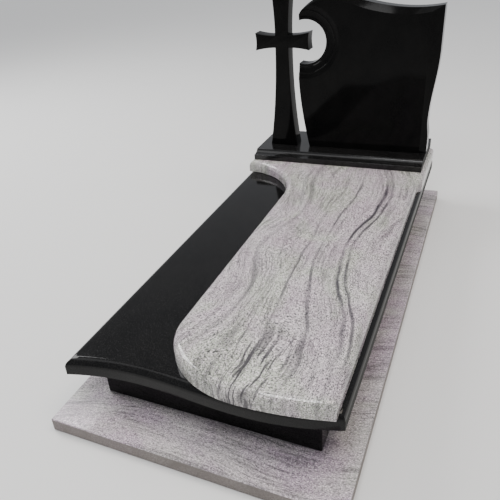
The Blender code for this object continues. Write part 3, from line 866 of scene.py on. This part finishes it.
def headstone_mesh():
    """A loft of three rings, back, outer front edge and face, less the turned bite."""
    (_, front, bottom), (_, back, _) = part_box("headstone")
    outline = stone_outline()
    levels = ((outline, back), (outline, front + STONE_BEVEL_DEPTH), (stone_face(outline), front))
    rings = [
        np.column_stack([flat[:, 0], np.full(len(flat), y), bottom + flat[:, 1]])
        for flat, y in levels
    ]
    body = bpy.data.objects.new("stone_body", stack_rings("headstone", rings))
    cutter = bpy.data.objects.new("stone_bite", turned_cutter(bite_profile(back - front)))
    place = Matrix.Translation((BITE_CENTRE[0], front, bottom + BITE_CENTRE[1]))
    cutter.data.transform(place @ Matrix.Rotation(math.radians(90), 4, "X"))
    for thing in (body, cutter):
        bpy.context.scene.collection.objects.link(thing)
        shape = bmesh.new()
        shape.from_mesh(thing.data)
        bmesh.ops.remove_doubles(shape, verts=shape.verts, dist=WELD)
        bmesh.ops.recalc_face_normals(shape, faces=shape.faces)
        shape.to_mesh(thing.data)
        shape.free()
    cut = body.modifiers.new("bite", "BOOLEAN")
    cut.operation = "DIFFERENCE"
    cut.solver = "EXACT"
    cut.object = cutter
    graph = bpy.context.evaluated_depsgraph_get()
    mesh = bpy.data.meshes.new_from_object(body.evaluated_get(graph))
    mesh.name = "headstone"
    bpy.data.objects.remove(body, do_unlink=True)
    bpy.data.objects.remove(cutter, do_unlink=True)
    smooth_edges(mesh, STONE_SMOOTH_BELOW)
    return mesh


monument_black = black_granite(
    "black_granite_monument",
    roughness=MONUMENT_ROUGHNESS,
    specks=MONUMENT_SPECKS,
    shine=MONUMENT_SHINE,
)
headstone = add_piece(
    "black_headstone", headstone_mesh(), monument_black, "headstone"
)


# The cross: sawn from one plate of the headstone's granite, its four arms
# widening to slightly hollow ends, the front edges eased. It is dowelled to the
# plinth.

CROSS_X = -0.310
CROSS_ARM_RISE = 0.545
CROSS_REACH = 0.143
CROSS_WAIST = 0.035
CROSS_ARM = 0.030
CROSS_FOOT = 0.075
CROSS_TOP = 0.052
CROSS_ARM_END = 0.043
CROSS_HOLLOW = 0.005
CROSS_EASE = 0.005
CROSS_STEPS = 25
CROSS_EASE_STEPS = 5


def cross_outline(height):
    """Anticlockwise from the right foot: each edge widens with the square of the way from the crossing.

    The ends are hollowed by a parabola.
    """
    middle = CROSS_ARM_RISE
    t = np.linspace(0.0, 1.0, CROSS_STEPS)
    bow = 4 * t * (1 - t)
    shaft_x = CROSS_WAIST + (CROSS_FOOT - CROSS_WAIST) * (1 - t) ** 2
    shaft = np.column_stack([shaft_x, (middle - CROSS_ARM) * t])
    arm_drop = CROSS_ARM + (CROSS_ARM_END - CROSS_ARM) * t ** 2
    arm = np.column_stack([CROSS_WAIST + (CROSS_REACH - CROSS_WAIST) * t, middle - arm_drop])
    end = np.column_stack([CROSS_REACH - CROSS_HOLLOW * bow, middle + CROSS_ARM_END * (2 * t - 1)])
    over = np.column_stack([arm[::-1, 0], 2 * middle - arm[::-1, 1]])
    rise = height - middle - CROSS_ARM
    neck_x = CROSS_WAIST + (CROSS_TOP - CROSS_WAIST) * t ** 2
    neck = np.column_stack([neck_x, middle + CROSS_ARM + rise * t])
    half = np.concatenate([shaft, arm, end, over, neck])
    cap = np.column_stack([CROSS_TOP * (1 - 2 * t), height - CROSS_HOLLOW * bow])
    mirrored = half[::-1] * (-1.0, 1.0)
    return without_doubles(np.concatenate([half, cap, mirrored]))


def cross_mesh():
    """The outline as a plate whose front edge is a small quarter round."""
    (_, front, bottom), (_, back, top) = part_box("cross")
    outline = cross_outline(top - bottom)
    turn = np.linspace(0.0, math.pi / 2, CROSS_EASE_STEPS)
    insets = np.concatenate([[0.0], CROSS_EASE * (1 - np.cos(turn))])
    places = np.concatenate([[back], front + CROSS_EASE * (1 - np.sin(turn))])
    rings = []
    for inset, y in zip(insets, places):
        flat = offset(outline, inset)
        up = bottom + np.maximum(flat[:, 1], 0.0)
        rings.append(np.column_stack([CROSS_X + flat[:, 0], np.full(len(flat), y), up]))
    mesh = stack_rings("cross", rings)
    smooth_edges(mesh, SMOOTH_BELOW)
    return mesh


cross = add_piece("black_cross", cross_mesh(), monument_black, "cross")


# Light: a dim even sky and a soft light from straight above, a large lamp on the
# left like a window, one high before the foot for the highlight on the front
# rounding, and a warm one on the right that keeps that side's margin open.

SKY_COLOUR = (0.93, 0.95, 1.0)
SKY_STRENGTH = 0.50
CEILING_STRENGTH = 1.05
CEILING_SPREAD = 60.0
LAMP_SIZE = 2.6
LAMP_POWER = 215.0
LAMP_AT = (-4.6, 0.9, 4.0)
LAMP_AIM = (-1.2, 1.2, 0.0)
TOP_LAMP_SIZE = 1.2
TOP_LAMP_POWER = 45.0
TOP_LAMP_AT = (0.09, -1.85, 3.5)
TOP_LAMP_AIM = (0.1, -0.4, 0.3)
SIDE_LAMP_SIZE = 2.2
SIDE_LAMP_POWER = 100.0
SIDE_LAMP_AT = (2.3, 0.2, 5.4)
SIDE_LAMP_AIM = (0.4, 0.0, 0.1)
SIDE_LAMP_COLOUR = (1.0, 0.88, 0.76)
WHITE = (1.0, 1.0, 1.0)

world = bpy.data.worlds.new("soft_sky")
world.use_nodes = True
sky = world.node_tree.nodes["Background"]
sky.inputs["Color"].default_value = (*SKY_COLOUR, 1.0)
sky.inputs["Strength"].default_value = SKY_STRENGTH
bpy.context.scene.world = world

ceiling_data = bpy.data.lights.new("ceiling_light", "SUN")
ceiling_data.energy = CEILING_STRENGTH
ceiling_data.angle = math.radians(CEILING_SPREAD)
ceiling = bpy.data.objects.new("ceiling_light", ceiling_data)
bpy.context.scene.collection.objects.link(ceiling)


def add_lamp(name, at, aim, size, power, colour=WHITE):
    """A square soft lamp that faces the aim.

    Its tilt is the angle between straight up and the line from the aim to the
    lamp, and its turn is that line's heading and a quarter turn.
    """
    data = bpy.data.lights.new(name, "AREA")
    data.shape = "SQUARE"
    data.size = size
    data.energy = power
    data.color = colour
    lamp = bpy.data.objects.new(name, data)
    lamp.location = at
    away = np.array(at) - np.array(aim)
    tilt = math.acos(away[2] / np.linalg.norm(away))
    lamp.rotation_euler = (tilt, 0.0, math.atan2(away[1], away[0]) + math.pi / 2)
    bpy.context.scene.collection.objects.link(lamp)


add_lamp("soft_lamp", LAMP_AT, LAMP_AIM, LAMP_SIZE, LAMP_POWER)
add_lamp("top_lamp", TOP_LAMP_AT, TOP_LAMP_AIM, TOP_LAMP_SIZE, TOP_LAMP_POWER)
add_lamp(
    "side_lamp", SIDE_LAMP_AT, SIDE_LAMP_AIM, SIDE_LAMP_SIZE, SIDE_LAMP_POWER, SIDE_LAMP_COLOUR
)


# The camera stands before the foot end, to the right and 1.4 m up, and looks
# down along the memorial, a little rolled, as the photograph was taken.

CAMERA_AT = (0.690, -2.036, 1.437)
CAMERA_HEADING = 27.488
CAMERA_FALL = 29.707
CAMERA_ROLL = -5.691
CAMERA_LENS = 40.54
CAMERA_SENSOR = 36.0
CAMERA_SHIFT = 0.0665
CAMERA_NEAR = 0.05

camera_data = bpy.data.cameras.new("photo_camera")
camera_data.lens = CAMERA_LENS
camera_data.sensor_width = CAMERA_SENSOR
camera_data.shift_x = CAMERA_SHIFT
camera_data.clip_start = CAMERA_NEAR
camera = bpy.data.objects.new("photo_camera", camera_data)
look = Euler((math.radians(90 - CAMERA_FALL), 0.0, math.radians(CAMERA_HEADING)), "XYZ")
roll = Matrix.Rotation(math.radians(CAMERA_ROLL), 3, "Z")
camera.rotation_euler = (look.to_matrix() @ roll).to_euler()
camera.location = CAMERA_AT
bpy.context.scene.collection.objects.link(camera)
bpy.context.scene.camera = camera
